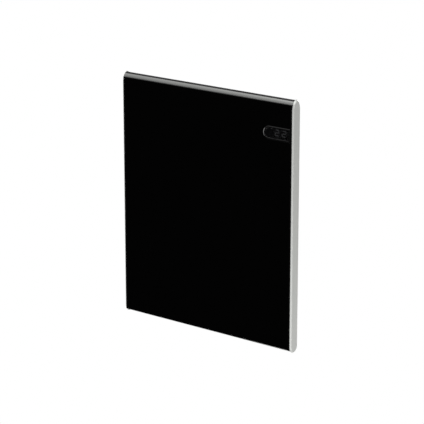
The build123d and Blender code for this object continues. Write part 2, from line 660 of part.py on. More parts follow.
# ---------------------------------------------------------------- capsule control
def display_bezel():
    """Moulded cup: bevelled rim round the window, floor with a stem guide, clip flange."""
    rim = loft([capsule_face(0, 0), capsule_face(-BEZEL_BEVEL, BEZEL_Y)], ruled=True)
    body = rim + capsule(0, 0, BEZEL_DEPTH)
    body -= capsule(-BEZEL_RIM, BEZEL_Y - PAST, BEZEL_DEPTH - BEZEL_FLOOR)
    ease = [capsule_face(BEZEL_EASE - BEZEL_RIM, BEZEL_Y), capsule_face(-BEZEL_RIM, BEZEL_Y + BEZEL_EASE)]
    body -= loft(ease, ruled=True)
    clip = capsule(BEZEL_CLIP, GLASS_THICKNESS + CUTOUT_CLEARANCE, BEZEL_DEPTH)
    body += clip - capsule(-BEZEL_CUP_WALL, 0, BEZEL_DEPTH + PAST)
    body -= disc(CAPSULE_X, CAPSULE_Z, 0, BEZEL_DEPTH + PAST, BUTTON_STEM + BUTTON_GAP)
    middle = DISPLAY_RIGHT - DISPLAY_LENGTH / 2 - CUTOUT_CLEARANCE
    return body - block_about(middle, 0, BEZEL_DEPTH + PAST, CAPSULE_Z,
                              DISPLAY_LENGTH + 2 * CUTOUT_CLEARANCE, DISPLAY_HEIGHT + 2 * CUTOUT_CLEARANCE)


def display_window():
    """Smoked lens inside the rim, with a round hole for the button."""
    lens = capsule(-BEZEL_RIM - CUTOUT_CLEARANCE, WINDOW_Y, WINDOW_Y + WINDOW_THICKNESS)
    return lens - disc(CAPSULE_X, CAPSULE_Z, BEZEL_Y - PAST, BEZEL_DEPTH, BUTTON_RADIUS + BUTTON_GAP)


def mode_button():
    """Round key with a dished face and a stem that works the switch behind it."""
    back_y = WINDOW_Y + BUTTON_THICKNESS
    stem_end = CONTROL_BOARD_Y - SWITCH_BODY - SWITCH_PLUNGER - SWITCH_REST_GAP - BUTTON_TRAVEL
    key = disc(CAPSULE_X, CAPSULE_Z, WINDOW_Y, back_y, BUTTON_RADIUS)
    key -= Pos(CAPSULE_X, WINDOW_Y + DISH_DEPTH - DISH_RADIUS, CAPSULE_Z) * Sphere(DISH_RADIUS)
    return key + disc(CAPSULE_X, CAPSULE_Z, back_y - BEZEL_FLOOR, stem_end, BUTTON_STEM)


def tact_switch():
    body_y = CONTROL_BOARD_Y - SWITCH_BODY
    body = block_about(CAPSULE_X, body_y, CONTROL_BOARD_Y, CAPSULE_Z, SWITCH_SIZE, SWITCH_SIZE)
    return body + disc(CAPSULE_X, CAPSULE_Z, body_y - SWITCH_PLUNGER, body_y, SWITCH_PLUNGER_RADIUS)


def display_module():
    """Two-digit block, its face just behind the window."""
    right = DISPLAY_RIGHT - CUTOUT_CLEARANCE
    front = WINDOW_Y + WINDOW_THICKNESS + DISPLAY_FACE_GAP
    body = block_about(right - DISPLAY_LENGTH / 2, front, CONTROL_BOARD_Y, CAPSULE_Z,
                       DISPLAY_LENGTH, DISPLAY_HEIGHT)
    return chamfer(front_edges(body), DISPLAY_ARRIS)


# ---------------------------------------------------------------- electronics bay
def board_corners(low, high):
    """Middles of a board's four screws."""
    return [(x, z) for x in (BAY_LEFT + POST_INSET, BAY_RIGHT - POST_INSET)
            for z in (low + POST_INSET, high - POST_INSET)]


def circuit_board(y, low, high, right):
    """Board with a screw hole in each corner of its fixing pattern."""
    plate = block(BAY_LEFT, right, y, y + BOARD, low, high)
    for x, z in board_corners(low, high):
        plate -= disc(x, z, y - PAST, y + BOARD + PAST, SCREW_RADIUS + SCREW_CLEARANCE)
    return plate


def board_posts():
    posts = []
    for y, low, high in BOARDS:
        for x, z in board_corners(low, high):
            post = disc(x, z, y + BOARD, BACK_INSIDE_Y, POST_RADIUS)
            posts.append(post - disc(x, z, 0, BACK_INSIDE_Y - POST_FLOOR, SCREW_RADIUS + SCREW_CLEARANCE))
    return group(posts)


def board_screws():
    screws = []
    for y, low, high in BOARDS:
        for x, z in board_corners(low, high):
            shank = disc(x, z, y, y + BOARD + SCREW_BITE, SCREW_RADIUS)
            screws.append(shank + disc(x, z, y - SCREW_HEAD, y, SCREW_HEAD_RADIUS))
    return group(screws)


def on_power_board(size, z):
    """Block of a component that stands on the front of the power board."""
    width, height, depth = size
    return block_about(BAY_MID, POWER_BOARD_Y - depth, POWER_BOARD_Y, z, width, height)


def relay():
    body = on_power_board(RELAY_SIZE, POWER_HIGH - RELAY_SETBACK)
    return chamfer(front_edges(body), RELAY_ARRIS)


def transformer():
    """Laminated core round a moulded bobbin."""
    z = POWER_HIGH - TRANSFORMER_SETBACK
    return on_power_board(CORE_SIZE, z) + on_power_board(BOBBIN_SIZE, z)


def terminal_places():
    """Middle of each way of the terminal block."""
    pitch = TERMINAL_SIZE[0] / TERMINAL_WAYS
    return [BAY_MID + (way - (TERMINAL_WAYS - 1) / 2) * pitch for way in range(TERMINAL_WAYS)]


def terminal_block():
    """Screw terminals with one clamp screw and one wire mouth a way."""
    width, height, depth = TERMINAL_SIZE
    front = POWER_BOARD_Y - depth
    body = on_power_board(TERMINAL_SIZE, TERMINAL_Z)
    for x in terminal_places():
        body -= disc(x, TERMINAL_Z, front - PAST, front + TERMINAL_SCREW, TERMINAL_SCREW)
        body -= stud(x, POWER_BOARD_Y - depth / 2, TERMINAL_Z - height, TERMINAL_Z - PAST, TERMINAL_MOUTH)
    return body


def room_sensor():
    """Bead thermistor in a clip behind the lower vents."""
    width, height, depth = SENSOR_CLIP
    clip = block_about(SENSOR_X, BACK_INSIDE_Y - depth, BACK_INSIDE_Y, VENT_INSET, width, height)
    reach = height / 2 + SENSOR_BEAD
    bead_y = BACK_INSIDE_Y - depth - SENSOR_BEAD / 2
    return clip + stud(SENSOR_X, bead_y, VENT_INSET - reach, VENT_INSET + reach, SENSOR_BEAD)


def earth_stud():
    return disc(BAY_MID, EARTH_Z, BACK_INSIDE_Y - EARTH_STUD_LENGTH, BACK_INSIDE_Y, EARTH_STUD_RADIUS)


def earth_nut():
    plane = Plane(origin=(BAY_MID, BACK_INSIDE_Y - EARTH_NUT_SETBACK, EARTH_Z), z_dir=(0, -1, 0))
    nut = extrude(plane * RegularPolygon(EARTH_NUT_RADIUS, 6), amount=EARTH_NUT_HEIGHT)
    return nut - disc(BAY_MID, EARTH_Z, 0, BACK_Y, EARTH_STUD_RADIUS + RUNNING_CLEARANCE)


def bend_radius(before, corner, after):
    """Largest bend up to WIRE_BEND that leaves a straight piece in both neighbouring runs."""
    run_in = Vector(*corner) - Vector(*before)
    run_out = Vector(*after) - Vector(*corner)
    half_turn = radians(run_in.get_angle(run_out)) / 2
    shorter = min(run_in.length, run_out.length)
    return min(WIRE_BEND, BEND_SHARE * shorter / tan(half_turn))


def wire(points):
    """Insulated lead along straight runs joined by round bends."""
    bends = [bend_radius(*points[number:number + 3]) for number in range(len(points) - 2)]
    path = FilletPolyline(*points, radius=bends)
    return sweep(Plane(origin=path @ 0, z_dir=path % 0) * Circle(WIRE_RADIUS), path=path)


def element_lead(tab_z, across_x, board_z):
    """Lead from a contact tab, up or down the bay, to the power board."""
    tab_y = MICA_Y + TAB_THICKNESS + WIRE_RADIUS
    lift_y = tab_y + WIRE_LIFT
    board_x = BAY_LEFT + LEAD_INSET
    return wire([(FILM_RIGHT - TAB_LENGTH / 2, tab_y, tab_z), (FILM_RIGHT - TAB_LENGTH / 2, lift_y, tab_z),
                 (across_x, lift_y, tab_z), (across_x, lift_y, board_z), (board_x, lift_y, board_z),
                 (board_x, POWER_BOARD_Y, board_z)])


def inner_wires():
    """Leads: rocker to the first terminal, and power board to each end of the film."""
    _, height, depth = TERMINAL_SIZE
    lead_y = POWER_BOARD_Y - depth / 2
    blade_x = ROCKER_X - SWITCH_BLADE_PITCH / 2
    blade_top = CASE_TOP + SWITCH_BLADE_LENGTH
    low_tab, high_tab = (z + TAB_WIDTH / 2 for z in tab_places())
    mains = wire([(terminal_places()[0], lead_y, TERMINAL_Z - height / 2),
                  (terminal_places()[0], lead_y, blade_top + LEAD_RISE + LEAD_JOG),
                  (blade_x, lead_y, blade_top + LEAD_RISE), (blade_x, TRAY_MID, blade_top)])
    return group([mains, element_lead(low_tab, BAY_LEFT, POWER_LOW + LOW_LEAD_RISE),
                  element_lead(high_tab, BAY_LEFT - WIRE_BEND, POWER_HIGH - HIGH_LEAD_DROP)])


def ribbon_cable():
    """Flat ribbon folded from the power board up to the back of the control board."""
    front = CONTROL_BOARD_Y + BOARD
    level = front + RIBBON_GAP
    low = POWER_HIGH - RIBBON_OVERLAP
    high = CONTROL_LOW + 2 * RIBBON_TURN

    def strip(y0, y1, z0, z1):
        return block(BAY_MID - RIBBON_WIDTH / 2, BAY_MID + RIBBON_WIDTH / 2, y0, y1, z0, z1)

    ribbon = strip(level, level + RIBBON_THICKNESS, low, high)
    ribbon += strip(level, POWER_BOARD_Y, low, low + RIBBON_TURN)
    return ribbon + strip(front, level, high - RIBBON_TURN, high)


# ---------------------------------------------------------------- service tray
def service_tray():
    """Moulded tray let into the underside, its rim following the curve of the housing."""
    gap = TRAY_CLEARANCE
    tray = block(TRAY_LEFT + gap, TRAY_RIGHT - gap, TRAY_FRONT + gap, TRAY_BACK - gap, 0, TRAY_CEILING)
    tray -= block(TRAY_LEFT + TRAY_WALL, TRAY_RIGHT - TRAY_WALL, TRAY_FRONT + TRAY_WALL,
                  TRAY_BACK - TRAY_WALL, -PAST, TRAY_FLOOR_RISE)
    tray = tray & pill(CAP_PROUD, TRAY_LEFT, TRAY_RIGHT)
    ears = block(TRAY_LEFT - TRAY_EAR, TRAY_RIGHT + TRAY_EAR, TRAY_MID - TRAY_EAR_WIDTH / 2,
                 TRAY_MID + TRAY_EAR_WIDTH / 2, 0, TRAY_CEILING)
    ears -= block(TRAY_LEFT + gap, TRAY_RIGHT - gap, 0, PANEL_DEPTH, -PAST, PANEL_HEIGHT)
    tray += ears & pill(CAP_PROUD + SKIN, TRAY_LEFT - 2 * TRAY_EAR, TRAY_RIGHT + 2 * TRAY_EAR)
    tray -= block_about(ROCKER_X, TRAY_MID - CASE_WIDTH / 2 - gap, TRAY_MID + CASE_WIDTH / 2 + gap,
                        TRAY_CEILING, CASE_LENGTH + 2 * gap, 2 * TRAY_CEILING)
    return tray - stud(GLAND_X, TRAY_MID, 0, PANEL_DEPTH, GLAND_SHANK + RUNNING_CLEARANCE)


def switch_block(length, width, z0, z1):
    """Block of the rocker switch about its middle."""
    return block_about(ROCKER_X, TRAY_MID - width / 2, TRAY_MID + width / 2, (z0 + z1) / 2, length, z1 - z0)


def rocker_housing():
    """Switch case: rim in the tray, pivot holes, two contact blades on top."""
    rim_length = CASE_LENGTH + 2 * TRAY_CLEARANCE + 2 * SWITCH_RIM_REACH
    rim_width = CASE_WIDTH + 2 * SWITCH_RIM_REACH
    case = switch_block(rim_length, rim_width, TRAY_FLOOR_RISE - SWITCH_RIM, TRAY_FLOOR_RISE)
    case += switch_block(CASE_LENGTH, CASE_WIDTH, TRAY_FLOOR_RISE, CASE_TOP)
    for side in (-1, 1):
        x = ROCKER_X + side * SWITCH_BLADE_PITCH / 2
        case += block_about(x, TRAY_MID - BLADE_WALL / 2, TRAY_MID + BLADE_WALL / 2,
                            CASE_TOP + SWITCH_BLADE_LENGTH / 2, SWITCH_BLADE_WIDTH, SWITCH_BLADE_LENGTH)
    case -= switch_block(WELL_LENGTH, WELL_WIDTH, 0, ROCKER_PIVOT_Z + ROCKER_WELL)
    reach = WELL_WIDTH / 2 + TRUNNION_REACH + TRUNNION_END_GAP
    return case - disc(ROCKER_X, ROCKER_PIVOT_Z, TRAY_MID - reach, TRAY_MID + reach,
                       PIVOT_RADIUS + RUNNING_CLEARANCE)


def rocker():
    """Rocker key with a hollowed face and two trunnions, tipped to its off side."""
    half = ROCKER_LENGTH / 2
    hollow = ROCKER_HOLLOW - ROCKER_FACE
    outline = Polyline((-half, ROCKER_BACK), (half, ROCKER_BACK), (half, -ROCKER_FACE), (ROCKER_FLAT, hollow),
                       (-ROCKER_FLAT, hollow), (-half, -ROCKER_FACE), close=True)
    side = Plane(origin=(0, ROCKER_WIDTH / 2, 0), x_dir=(1, 0, 0), z_dir=(0, -1, 0))
    key = extrude(side * make_face(outline), amount=ROCKER_WIDTH)
    reach = WELL_WIDTH / 2 + TRUNNION_REACH
    key += disc(0, 0, -reach, reach, PIVOT_RADIUS)
    return Pos(ROCKER_X, TRAY_MID, ROCKER_PIVOT_Z) * Rot(0, -ROCKER_THROW / 2, 0) * key


def cable_gland():
    """Cord inlet: flanged bush with the bore that the supply cord enters."""
    flange = stud(GLAND_X, TRAY_MID, GLAND_LOW, TRAY_FLOOR_RISE, GLAND_FLANGE)
    flange = chamfer(flange.faces().sort_by(Axis.Z)[0].edges(), GLAND_ARRIS)
    bush = flange + stud(GLAND_X, TRAY_MID, TRAY_FLOOR_RISE, GLAND_LOW + GLAND_LENGTH, GLAND_SHANK)
    return bush - stud(GLAND_X, TRAY_MID, 0, PANEL_DEPTH, INLET_RADIUS)


def gland_nut():
    plane = Plane(origin=(GLAND_X, TRAY_MID, TRAY_CEILING))
    nut = extrude(plane * RegularPolygon(GLAND_NUT_RADIUS, 6), amount=GLAND_NUT_HEIGHT)
    return nut - stud(GLAND_X, TRAY_MID, 0, PANEL_DEPTH, GLAND_SHANK + RUNNING_CLEARANCE)


# ---------------------------------------------------------------- wall bracket
def hook(seat):
    """Hook in the plane of the flange: tongue, seat that the housing hangs on, upturned lip."""
    seat_y = BACK_INSIDE_Y - DOUBLER - HOOK_CLEARANCE
    tip_y = seat_y - HOOK_LIP_WALL
    root_y = FLANGE_Y + PAST
    top = seat + HOOK_LIP
    heel_y, heel_z = HOOK_HEEL
    outline = Polyline((root_y, seat - HOOK_DROP), (tip_y + heel_y, seat - HOOK_DROP),
                       (tip_y, seat - HOOK_DROP + heel_z), (tip_y, top - HOOK_LEAD_IN),
                       (tip_y + HOOK_LEAD_IN, top), (seat_y, top), (seat_y, seat), (root_y, seat), close=True)
    return extrude(Plane.YZ.offset(UPRIGHT_X) * make_face(outline), amount=STEEL)


def rivet_places():
    """Rivets that join the bars to the right-hand upright."""
    middle = UPRIGHT_OUT - RIVET_SETBACK
    return [(middle + side * RIVET_PITCH / 2, z) for z in BAR_HEIGHTS for side in (-1, 1)]


def rivet_hole(x, z):
    return disc(x, z, FLANGE_Y, WALL_Y + PAST, RIVET_RADIUS + RUNNING_CLEARANCE)


def wall_slot(z):
    """Cutter for a slot that a wall screw passes through."""
    reach = WALL_SLOT_LENGTH / 2 - WALL_SLOT_RADIUS
    slot = block_about(WALL_HOLE_X, FLANGE_Y, WALL_Y + PAST, z, 2 * reach, 2 * WALL_SLOT_RADIUS)
    for end in (-reach, reach):
        slot += disc(WALL_HOLE_X + end, z, FLANGE_Y, WALL_Y + PAST, WALL_SLOT_RADIUS)
    return slot


def upright():
    """Right-hand angle of folded steel with two hooks and two slots for the wall screws."""
    angle = block(UPRIGHT_X, UPRIGHT_OUT, FLANGE_Y, WALL_Y, UPRIGHT_LOW, UPRIGHT_HIGH)
    angle += block(UPRIGHT_OUT - UPRIGHT_WEB, UPRIGHT_OUT, WALL_Y - STEEL, WALL_Y, UPRIGHT_LOW, UPRIGHT_HIGH)
    for seat in HOOK_SEATS:
        angle += hook(seat)
    for z in WALL_HOLE_HEIGHTS:
        angle -= wall_slot(z)
    for x, z in rivet_places():
        angle -= rivet_hole(x, z)
    return angle


def bracket_bar(z):
    """Flat tie between the uprights."""
    reach = UPRIGHT_X - BAR_END_GAP
    bar = block(-reach, reach, WALL_Y - 2 * STEEL, WALL_Y - STEEL, z - BAR_HEIGHT / 2, z + BAR_HEIGHT / 2)
    for x, rivet_z in rivet_places():
        for hole in both_sides(rivet_hole(x, rivet_z)):
            bar -= hole
    return bar


def bracket_rivets():
    rivets = []
    front = WALL_Y - 2 * STEEL
    for x, z in rivet_places():
        shank = disc(x, z, front, WALL_Y - RIVET_SINK, RIVET_RADIUS)
        rivets += both_sides(shank + disc(x, z, front - RIVET_HEAD, front, RIVET_HEAD_RADIUS))
    return group(rivets)


def hanger_plates():
    """Doublers inside the housing that carry its weight on the hooks."""
    centre = UPRIGHT_X + STEEL / 2
    plates = []
    for seat in HOOK_SEATS:
        plate = block(centre - DOUBLER_WIDTH / 2, centre + DOUBLER_WIDTH / 2, BACK_INSIDE_Y - DOUBLER,
                      BACK_INSIDE_Y, seat - SLOT_HEIGHT - DOUBLER_BELOW, seat + DOUBLER_ABOVE)
        for slot in hook_slots():
            plate -= slot
        plates += both_sides(plate)
    return group(plates)


# ---------------------------------------------------------------- sprung locks
def lock_disc(y0, y1, radius):
    """Round solid on the lock's own axis."""
    return disc(LOCK_X, LOCK_Z, y0, y1, radius)


def lock_housing():
    """Block on the upright with a guide bore at each end and a spring chamber between."""
    body = block_about(LOCK_X, LOCK_FRONT, LOCK_BACK, LOCK_Z, LOCK_WIDTH, LOCK_WIDTH)
    body = chamfer(body.edges().filter_by(Axis.Y).group_by(Axis.X)[-1], LOCK_ARRIS)
    body -= lock_disc(LOCK_FRONT + LOCK_WALL, LOCK_BACK - LOCK_WALL, LOCK_CHAMBER_RADIUS)
    return body - lock_disc(LOCK_FRONT - PAST, LOCK_BACK + PAST, PLUNGER_RADIUS + RUNNING_CLEARANCE)


def lock_plunger():
    """Blunt pin with its collar and a finger tab that rises behind the panel."""
    pin = lock_disc(BACK_Y - LOCK_ENGAGE, PULL_Y + STEEL / 2, PLUNGER_RADIUS)
    pin = chamfer(front_edges(pin), PLUNGER_LEAD_IN)
    pin += lock_disc(COLLAR_Y, COLLAR_Y + COLLAR_WALL, COLLAR_RADIUS)
    half = LOCK_WIDTH / 2 - TAB_INSET
    tab = block(LOCK_X - half, LOCK_X + half, PULL_Y, PULL_Y + STEEL, LOCK_Z - half, LOCK_Z + TAB_RISE)
    return pin + fillet(tab.edges().filter_by(Axis.Y).group_by(Axis.Z)[-1], TAB_ROUND)


def lock_spring():
    """Sleeve in the space of the coil spring, between the collar and the end of the chamber."""
    y0 = COLLAR_Y + COLLAR_WALL + SPRING_END_GAP
    y1 = LOCK_BACK - LOCK_WALL - SPRING_END_GAP
    bore = lock_disc(y0 - PAST, y1 + PAST, PLUNGER_RADIUS + SPRING_BORE_GAP)
    return lock_disc(y0, y1, COLLAR_RADIUS) - bore


PIECES = {
    "front_glass": front_glass(),
    "side_strip_left": mirrored(side_strip()),
    "side_strip_right": side_strip_right(),
    "top_rail": top_rail(),
    "bottom_rail": bottom_rail(),
    "glass_adhesive": glass_adhesive(),
    "rear_housing": rear_housing(),
    "end_cap_left": mirrored(end_cap()),
    "end_cap_right": end_cap(),
    "end_cap_screws": end_cap_screws(),
    "heating_film": heating_film(),
    "element_tabs": element_tabs(),
    "mica_sheet": pack_layer(MICA_Y, FOIL_Y),
    "reflector_foil": pack_layer(FOIL_Y, INSULATION_Y),
    "insulation_board": insulation_board(),
    "thermal_cutout": thermal_cutout(),
    "thermal_fuse": thermal_fuse(),
    "bay_partition": bay_partition(),
    "display_bezel": display_bezel(),
    "display_window": display_window(),
    "mode_button": mode_button(),
    "tact_switch": tact_switch(),
    "display_module": display_module(),
    "control_board": circuit_board(CONTROL_BOARD_Y, CONTROL_LOW, CONTROL_HIGH, DISPLAY_RIGHT),
    "power_board": circuit_board(POWER_BOARD_Y, POWER_LOW, POWER_HIGH, BAY_RIGHT),
    "board_posts": board_posts(),
    "board_screws": board_screws(),
    "relay": relay(),
    "transformer": transformer(),
    "terminal_block": terminal_block(),
    "room_sensor": room_sensor(),
    "earth_stud": earth_stud(),
    "earth_nut": earth_nut(),
    "inner_wires": inner_wires(),
    "ribbon_cable": ribbon_cable(),
    "service_tray": service_tray(),
    "rocker_housing": rocker_housing(),
    "rocker": rocker(),
    "cable_gland": cable_gland(),
    "gland_nut": gland_nut(),
    "bracket_upright_left": mirrored(upright()),
    "bracket_upright_right": upright(),
    "bracket_bar_top": bracket_bar(BAR_HEIGHTS[1]),
    "bracket_bar_bottom": bracket_bar(BAR_HEIGHTS[0]),
    "bracket_rivets": bracket_rivets(),
    "hanger_plates": hanger_plates(),
    "lock_housing_left": mirrored(lock_housing()),
    "lock_housing_right": lock_housing(),
    "lock_plunger_left": mirrored(lock_plunger()),
    "lock_plunger_right": lock_plunger(),
    "lock_spring_left": mirrored(lock_spring()),
    "lock_spring_right": lock_spring(),
}

os.makedirs("parts", exist_ok=True)
to_wall_origin = Pos(0, -WALL_Y, -HANG_HEIGHT)
for name, piece in PIECES.items():
    export_step(to_wall_origin * piece, f"parts/{name}.step")
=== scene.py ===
"""Looks of a wall-hung glass infrared panel heater, dressed over its packed construction.

Units are metres, in the frame of the construction: x to the right, y into the wall, z up.
Sizes named in millimetres are turned to metres with MM.
"""
import json
from math import cos, radians, sin

import bpy
import numpy as np
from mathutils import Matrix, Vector


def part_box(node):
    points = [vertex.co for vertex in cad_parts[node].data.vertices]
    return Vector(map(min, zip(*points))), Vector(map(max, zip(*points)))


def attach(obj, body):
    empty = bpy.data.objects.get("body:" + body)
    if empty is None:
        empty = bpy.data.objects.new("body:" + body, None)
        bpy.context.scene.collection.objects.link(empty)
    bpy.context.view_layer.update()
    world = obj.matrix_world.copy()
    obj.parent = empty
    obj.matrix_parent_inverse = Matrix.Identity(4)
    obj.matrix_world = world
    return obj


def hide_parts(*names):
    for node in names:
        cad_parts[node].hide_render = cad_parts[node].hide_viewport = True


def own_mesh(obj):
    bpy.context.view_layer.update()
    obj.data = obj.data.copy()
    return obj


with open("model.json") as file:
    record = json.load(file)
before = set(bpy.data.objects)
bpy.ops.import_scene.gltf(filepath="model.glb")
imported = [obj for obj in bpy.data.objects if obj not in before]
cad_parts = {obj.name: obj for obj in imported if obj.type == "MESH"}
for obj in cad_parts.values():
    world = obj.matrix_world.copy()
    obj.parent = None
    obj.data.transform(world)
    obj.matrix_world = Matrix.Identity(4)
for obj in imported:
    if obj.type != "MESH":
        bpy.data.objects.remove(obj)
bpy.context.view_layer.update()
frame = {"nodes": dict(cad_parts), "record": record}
MM = 0.001


# ---------------------------------------------------------------- places taken from the frame
CAP_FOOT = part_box("end_cap_right")[0].z
MODULE_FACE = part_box("display_module")[0].y
BUTTON_LOW, BUTTON_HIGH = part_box("mode_button")
SCREWS_LOW, SCREWS_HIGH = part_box("end_cap_screws")
RIVETS_LOW, RIVETS_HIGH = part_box("bracket_rivets")
CAPSULE_Z = (BUTTON_LOW.z + BUTTON_HIGH.z) / 2


# ---------------------------------------------------------------- colour, nodes and finishes
def linear(code):
    """Turn an sRGB hex code into linear red, green, blue and alpha."""
    channels = [int(code[start:start + 2], 16) / 255 for start in (1, 3, 5)]
    return [c / 12.92 if c <= 0.04045 else ((c + 0.055) / 1.055) ** 2.4 for c in channels] + [1.0]


def add(tree, kind, settings=None, links=None):
    """Add a node: settings are its properties or socket values, links join sockets to others."""
    node = tree.nodes.new(kind)
    for key, value in (settings or {}).items():
        if isinstance(key, int) or key in node.inputs:
            node.inputs[key].default_value = value
        else:
            setattr(node, key, value)
    for key, source in (links or {}).items():
        tree.links.new(source, node.inputs[key])
    return node


def begin(name, colour, **sockets):
    """Start a material on one Principled shader; gives back the material, its tree and shader."""
    material = bpy.data.materials.new(name)
    material.use_nodes = True
    material.diffuse_color = linear(colour)
    shader = material.node_tree.nodes["Principled BSDF"]
    shader.inputs["Base Color"].default_value = linear(colour)
    for key, value in sockets.items():
        shader.inputs[key.replace("_", " ")].default_value = value
    return material, material.node_tree, shader


def follow(tree, shader, factor, colours=None, gloss=None, relief_mm=0.0, strength=1.0):
    """Let colour, roughness and height follow one pattern, each from its first end to its last."""
    if colours:
        first, last = linear(colours[0]), linear(colours[1])
        mix = add(tree, "ShaderNodeMix", {"data_type": "RGBA", 6: first, 7: last}, {0: factor})
        tree.links.new(mix.outputs[2], shader.inputs["Base Color"])
    if gloss:
        span = add(tree, "ShaderNodeMapRange", {"To Min": gloss[0], "To Max": gloss[1]},
                   {"Value": factor})
        tree.links.new(span.outputs["Result"], shader.inputs["Roughness"])
    if relief_mm:
        raised = add(tree, "ShaderNodeBump", {"Strength": strength, "Distance": relief_mm * MM},
                     {"Height": factor})
        tree.links.new(raised.outputs["Normal"], shader.inputs["Normal"])


def mottled(name, colours, gloss, size_mm, relief_mm=0.0, strength=1.0, along=(1, 1, 1),
            detail=2.0, **sockets):
    """A finish that follows a random mottle of size_mm; along below 1 draws it out that way."""
    material, tree, shader = begin(name, colours[0], **sockets)
    place = add(tree, "ShaderNodeTexCoord")
    drawn = add(tree, "ShaderNodeMapping", {"Scale": along}, {"Vector": place.outputs["Object"]})
    mottle = add(tree, "ShaderNodeTexNoise", {"Scale": 1 / (size_mm * MM), "Detail": detail},
                 {"Vector": drawn.outputs["Vector"]})
    follow(tree, shader, mottle.outputs["Fac"], colours, gloss, relief_mm, strength)
    return material


# Float glass with black enamel fired on its back: the polished face shows a hard, faint
# reflection over a body with no light in it. The mottle is the slow waviness of float glass.
BLACK_GLASS = mottled("black_backed_float_glass", ("#010101", "#020202"), (0.02, 0.04), 120, 0.03,
                      0.3, Specular_IOR_Level=0.25)

# Anodised aluminium strip, extruded: black with a soft grey sheen and drawing lines along z.
BLACK_STRIP = mottled("black_anodised_aluminium", ("#030303", "#060606"), (0.20, 0.30), 1.0, 0.01,
                      along=(1, 1, 0.02), Specular_IOR_Level=0.3)

# Aluminium rail, rolled and lacquered silver: satin, with faint rolling lines along x.
SILVER_RAIL = mottled("satin_lacquered_aluminium", ("#8e8f8d", "#9a9b99"), (0.16, 0.26), 0.9, 0.01,
                      along=(0.015, 1, 1), Metallic=0.8)

# Two-coat silver paint on moulded ABS: grey flake in a satin clear coat, slight orange peel.
SILVER_PAINT = mottled("silver_painted_abs", ("#b0b1ae", "#babbb8"), (0.38, 0.46), 0.8, 0.012,
                       detail=3.0, Metallic=0.20)

# Pressed steel pan, powder coated charcoal: satin skin with the fine pebble of melted powder.
CHARCOAL_COAT = mottled("charcoal_powder_coat", ("#181818", "#202020"), (0.50, 0.64), 1.2, 0.06,
                        Specular_IOR_Level=0.2)

# Steel strip bracket, powder coated graphite: a shade lighter than the pan.
GRAPHITE_COAT = mottled("graphite_powder_coat", ("#343436", "#404042"), (0.42, 0.58), 1.2, 0.06)

# Silicone rubber bead, cured black: dull, with the ripple of the nozzle.
SILICONE = mottled("black_silicone_rubber", ("#0d0d0d", "#151515"), (0.50, 0.62), 4.0, 0.15)

# Steel fasteners, zinc plated: bright bluish metal, slightly cloudy.
ZINC = mottled("zinc_plated_steel", ("#a3a9ad", "#bcc1c5"), (0.22, 0.38), 2.5, Metallic=1.0)

# Resistor film, carbon ink printed on polyester: matt black-brown.
CARBON_FILM = mottled("printed_carbon_film", ("#15120e", "#1f1a15"), (0.60, 0.75), 3.0)

# Brass strip, stamped: warm yellow metal, lightly tarnished.
BRASS = mottled("stamped_brass", ("#a88948", "#c8aa66"), (0.26, 0.40), 3.0, Metallic=1.0)

# Mica paper, pressed: amber flakes with a pearly sheen.
MICA = mottled("pressed_mica", ("#8b7550", "#bba67d"), (0.28, 0.46), 5.0, 0.03)

# Aluminium foil, rolled: bright, with soft creases from laying it by hand.
FOIL = mottled("rolled_aluminium_foil", ("#d9dadb", "#e6e7e8"), (0.14, 0.24), 14.0, 0.4,
               Metallic=1.0)

# Mineral fibre board, pressed: off-white and soft, tangled fibres.
FIBRE = mottled("pressed_mineral_fibre", ("#c9c4b2", "#e3e0d3"), (0.90, 1.0), 1.6, 0.3, detail=4.0)

# Aluminium can, deep drawn: soft metal with fine drawing lines.
CAN = mottled("deep_drawn_aluminium", ("#adafb0", "#bec0c1"), (0.26, 0.40), 0.8,
              along=(1, 0.05, 1), Metallic=1.0)

# ABS bezel, moulded in a polished tool: gloss black with a trace of flow.
GLOSS_ABS = mottled("gloss_black_abs", ("#080808", "#0a0a0a"), (0.10, 0.17), 15.0,
                    Specular_IOR_Level=0.45)

# Key cap, moulded ABS: satin, a little duller than the lens beside it.
SATIN_KEY = mottled("satin_black_abs", ("#040405", "#070708"), (0.18, 0.26), 0.8, 0.004,
                    Specular_IOR_Level=0.3)

# Nylon, moulded black: the bodies of switch and sensor, the gland and its nut.
NYLON = mottled("moulded_black_nylon", ("#151516", "#1d1d1e"), (0.42, 0.54), 1.0, 0.02)

# Epoxy-potted face of the display: matt black so that only lit figures show.
POTTING = mottled("matt_black_epoxy", ("#020202", "#040404"), (0.65, 0.75), 1.0,
                  Specular_IOR_Level=0.2)

# Relay case, moulded PBT: clear blue.
BLUE_CASE = mottled("moulded_blue_pbt", ("#153672", "#1e4990"), (0.28, 0.40), 1.0)

# Terminal block, moulded polyamide: mid grey.
GREY_BLOCK = mottled("moulded_grey_polyamide", ("#83868a", "#939699"), (0.40, 0.52), 1.2, 0.02)

# Wire sleeve, extruded silicone: pale and matt.
SLEEVE = mottled("extruded_silicone_sleeve", ("#b2aca1", "#c7c2b8"), (0.54, 0.66), 1.5)

# Tray and switch frame, moulded ABS with a spark-eroded grain.
GRAINED_ABS = mottled("grained_black_abs", ("#111112", "#19191a"), (0.44, 0.56), 0.9, 0.04)

# Rocker, moulded polycarbonate: smooth satin.
ROCKER = mottled("satin_black_polycarbonate", ("#0c0c0d", "#111112"), (0.20, 0.28), 2.0)

# Glass-filled nylon locks: dull black with pale fibre flecks at the skin.
FILLED_NYLON = mottled("glass_filled_nylon", ("#171718", "#242425"), (0.46, 0.62), 1.2, 0.03,
                       detail=4.0)

